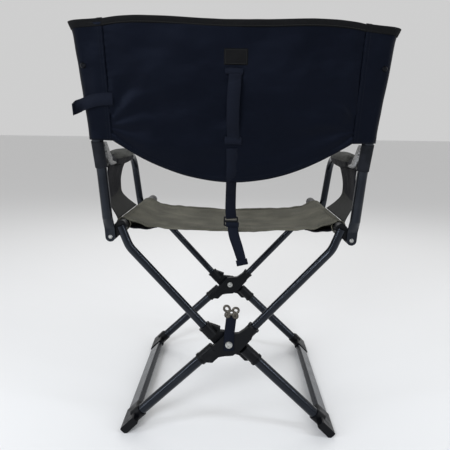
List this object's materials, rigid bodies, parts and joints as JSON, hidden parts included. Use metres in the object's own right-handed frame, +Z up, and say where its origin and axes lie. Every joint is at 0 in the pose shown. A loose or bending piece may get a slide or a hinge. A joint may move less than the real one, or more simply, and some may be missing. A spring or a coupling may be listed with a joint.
{
  "type": "folding director camp chair",
  "caption": "Folding X-frame camp chair with a slung seat and back, padded arms, moulded pivot brackets, floor rails and a carry handle.",
  "frame": {"origin": "on the floor under the middle of the chair's width and depth", "axes": "+X to the sitter's right-hand side as seen from behind, +Y from the back towards the front of the seat, +Z up"},
  "size_m": [0.6108, 0.5829, 0.8951],
  "materials": {
    "frame_steel": "black gloss powder coat",
    "moulded_plastic": "black, fine-grained",
    "grip_foam": "matte foam",
    "zinc_steel": "dull zinc plate",
    "back_cloth": "near-black navy weave",
    "hem_cloth": "dark grey binding",
    "seat_cloth": "olive-grey weave",
    "side_cloth": "dark navy to grey weave",
    "webbing": "black ribbed webbing"
  },
  "bodies": {
    "pivots": {"hub_bolts": "zinc_steel", "hub_washers": "zinc_steel", "hub_nuts": "zinc_steel", "seat_sling": "seat_cloth", "keeper_tab": "webbing", "keeper_clip": "zinc_steel", "strap_buckle": "moulded_plastic", "strap_tail": "webbing"},
    "frame_a": {"rear_arm_a": "frame_steel", "front_arm_a": "frame_steel", "rear_leg_a": "frame_steel", "front_leg_a": "frame_steel", "rear_hub_bracket_a": "moulded_plastic", "front_hub_bracket_a": "moulded_plastic", "seat_rail_a": "frame_steel", "rear_corner_a": "moulded_plastic", "front_corner_a": "moulded_plastic", "floor_rail_a": "frame_steel", "rear_foot_a": "moulded_plastic", "front_foot_a": "moulded_plastic", "seat_sleeve_a": "seat_cloth"},
    "frame_b": {"rear_arm_b": "frame_steel", "front_arm_b": "frame_steel", "rear_leg_b": "frame_steel", "front_leg_b": "frame_steel", "rear_hub_bracket_b": "moulded_plastic", "front_hub_bracket_b": "moulded_plastic", "seat_rail_b": "frame_steel", "rear_corner_b": "moulded_plastic", "front_corner_b": "moulded_plastic", "floor_rail_b": "frame_steel", "rear_foot_b": "moulded_plastic", "front_foot_b": "moulded_plastic", "seat_sleeve_b": "seat_cloth"},
    "side_frame_a": {"back_post_a": "frame_steel", "arm_tube_a": "frame_steel", "arm_socket_a": "moulded_plastic", "post_grip_a": "grip_foam", "arm_pad_a": "seat_cloth", "side_panel_a": "side_cloth", "arm_tab_a": "side_cloth", "back_sleeve_a": "back_cloth", "sleeve_stud_a": "zinc_steel", "hinge_rivets_a": "zinc_steel"},
    "side_frame_b": {"back_post_b": "frame_steel", "arm_tube_b": "frame_steel", "arm_socket_b": "moulded_plastic", "post_grip_b": "grip_foam", "arm_pad_b": "seat_cloth", "side_panel_b": "side_cloth", "arm_tab_b": "side_cloth", "back_sleeve_b": "back_cloth", "sleeve_stud_b": "zinc_steel", "hinge_rivets_b": "zinc_steel", "closure_strap": "webbing"},
    "back_sling": {"back_panel": "back_cloth", "top_hem": "hem_cloth", "carry_handle": "webbing", "lumbar_strap": "webbing"}
  },
  "joints": [
    {"name": "fold", "type": "hinge", "parent": "pivots", "child": "frame_a", "pos_m": [0, -0.1815, 0.218], "axis": [0, -1, 0], "range_deg": [0, 36], "deforming": ["seat_sling", "back_panel", "top_hem", "side_panel_a", "side_panel_b", "lumbar_strap", "strap_tail"]},
    {"name": "scissor", "type": "hinge", "parent": "frame_a", "child": "frame_b", "pos_m": [0, -0.1815, 0.218], "axis": [0, 1, 0], "range_deg": [0, 72]},
    {"name": "side_hinge_right", "type": "hinge", "parent": "frame_a", "child": "side_frame_a", "pos_m": [0.265, -0.1815, 0.462], "axis": [0, 1, 0], "range_deg": [0, 33]},
    {"name": "side_hinge_left", "type": "hinge", "parent": "frame_b", "child": "side_frame_b", "pos_m": [-0.265, -0.1815, 0.462], "axis": [0, -1, 0], "range_deg": [0, 33]},
    {"name": "back_rise", "type": "slide", "parent": "pivots", "child": "back_sling", "axis": [0, 0, 1], "range_m": [0, 0.11]}
  ],
  "couplings": [
    {"joint": "scissor", "follows": "fold", "ratio": 2},
    {"joint": "side_hinge_right", "follows": "fold", "ratio": 0.9056},
    {"joint": "side_hinge_left", "follows": "fold", "ratio": 0.9056},
    {"joint": "back_rise", "follows": "fold", "m_per_rad": 0.1737}
  ]
}
